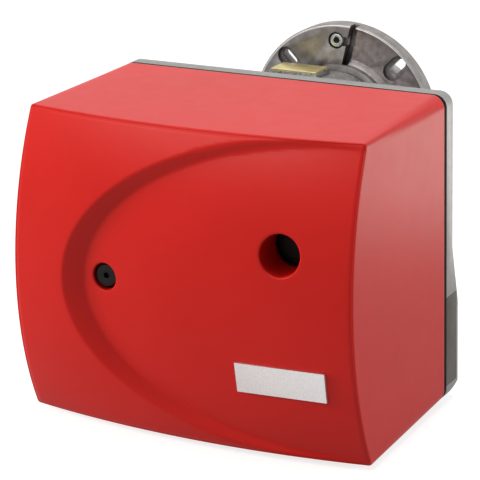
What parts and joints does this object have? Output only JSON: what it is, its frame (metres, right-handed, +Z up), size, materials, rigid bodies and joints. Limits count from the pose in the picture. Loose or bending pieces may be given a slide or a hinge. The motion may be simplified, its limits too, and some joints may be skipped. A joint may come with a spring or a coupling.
{
  "type": "oil burner",
  "caption": "Compact oil burner with a domed red hood, cast housing and a blast tube that slides in its boiler flange.",
  "frame": {"origin": "centre of the flange's boiler-side face, on the blast tube's axis", "axes": "+Y along the blast tube into the boiler, +Z up, +X to the right of someone facing the hood"},
  "size_m": [0.3404, 0.4441, 0.3131],
  "materials": {
    "red_hood": "satin moulded plastic, red",
    "badge_plate": "bare silver plate",
    "black_plastic": "black moulded plastic",
    "cast_aluminium": "as-cast aluminium",
    "cast_flange": "machined and cast aluminium",
    "dark_cover": "dark grey moulded plastic",
    "seal_rubber": "black rubber",
    "zinc_steel": "zinc plated steel",
    "yellow_zinc": "yellow passivated steel",
    "tube_steel": "heat resistant sheet steel",
    "motor_paint": "dark grey painted aluminium",
    "steel": "plain steel",
    "copper": "copper pipe",
    "brass": "machined brass",
    "ceramic": "glazed ceramic",
    "transformer_grey": "potted block",
    "lead_rubber": "silicone sheathed lead",
    "knob_blue": "moulded knob",
    "scale_white": "plain dial"
  },
  "bodies": {
    "flange": {"mount_flange": "cast_flange", "clamp_wedge": "steel"},
    "clamp_screw": {"clamp_screw": "zinc_steel"},
    "burner": {"housing": "cast_aluminium", "housing_screws": "zinc_steel", "mains_socket": "black_plastic", "cover_screws": "zinc_steel", "neck_plate": "yellow_zinc", "side_cover": "dark_cover", "hood_seal": "seal_rubber", "hood_post": "zinc_steel", "blast_tube": "tube_steel", "tube_screws": "zinc_steel", "fan_housing": "cast_aluminium", "fan_cover": "cast_aluminium", "motor_case": "motor_paint", "motor_end_bell": "motor_paint", "motor_bearings": "steel", "motor_stator": "steel", "motor_capacitor": "black_plastic", "pump_posts": "zinc_steel", "pump_bracket": "zinc_steel", "pump_body": "cast_flange", "pump_cover": "cast_flange", "solenoid_valve": "black_plastic", "oil_tube": "copper", "nozzle_cover": "cast_aluminium", "electrode_boots": "seal_rubber", "ignition_transformer": "transformer_grey", "ignition_leads": "lead_rubber", "control_unit": "black_plastic", "control_base": "dark_cover", "control_bracket": "zinc_steel", "photocell": "black_plastic", "intake_duct": "zinc_steel", "damper_scale": "scale_white"},
    "hood": {"hood": "red_hood", "hood_badge": "badge_plate"},
    "hood_screw": {"hood_screw": "black_plastic"},
    "rotor": {"motor_shaft": "steel", "motor_rotor": "steel", "fan_wheel": "zinc_steel", "pump_coupling": "black_plastic", "pump_shaft": "steel"},
    "mixing_head": {"nozzle_rod": "brass", "oil_preheater": "steel", "nozzle": "brass", "baffle_plate": "tube_steel", "electrodes": "ceramic", "electrode_clamp": "zinc_steel"},
    "regulating_knob": {"regulating_knob": "knob_blue"},
    "pressure_screw": {"pressure_screw": "brass"},
    "reset_button": {"reset_button": "black_plastic"},
    "damper": {"damper_flap": "zinc_steel", "damper_knob": "knob_blue"}
  },
  "joints": [
    {"name": "burner_slide", "type": "slide", "parent": "flange", "child": "burner", "axis": [0, -1, 0], "range_m": [0, 0.04]},
    {"name": "clamp_screw_turn", "type": "hinge", "parent": "flange", "child": "clamp_screw", "pos_m": [-0.005, -0.012, 0.0787], "axis": [0, 1, 0], "continuous": true},
    {"name": "hood_off", "type": "slide", "parent": "burner", "child": "hood", "axis": [0, -1, 0], "range_m": [0, 0.26]},
    {"name": "hood_screw_turn", "type": "hinge", "parent": "hood", "child": "hood_screw", "pos_m": [-0.0715, -0.35, -0.0685], "axis": [0, 1, 0], "continuous": true},
    {"name": "rotor_spin", "type": "hinge", "parent": "burner", "child": "rotor", "pos_m": [0, -0.243, -0.13], "axis": [1, 0, 0], "continuous": true},
    {"name": "knob_turn", "type": "hinge", "parent": "burner", "child": "regulating_knob", "pos_m": [-0.024, -0.22, 0], "axis": [0, 1, 0], "range_deg": [0, 1440]},
    {"name": "head_slide", "type": "slide", "parent": "burner", "child": "mixing_head", "axis": [0, 1, 0], "range_m": [0, 0.012]},
    {"name": "pressure_turn", "type": "hinge", "parent": "burner", "child": "pressure_screw", "pos_m": [0.1, -0.225, -0.116], "axis": [1, 0, 0], "range_deg": [-360, 360]},
    {"name": "reset_push", "type": "slide", "parent": "burner", "child": "reset_button", "axis": [0, 1, 0], "range_m": [0, 0.003], "stiffness_N_per_m": 900, "springref_m": -0.001},
    {"name": "damper_turn", "type": "hinge", "parent": "burner", "child": "damper", "pos_m": [0.102, -0.158, -0.161], "axis": [1, 0, 0], "range_deg": [0, 90]}
  ],
  "couplings": [
    {"joint": "knob_turn", "follows": "head_slide", "rad_per_m": 2094.4}
  ]
}
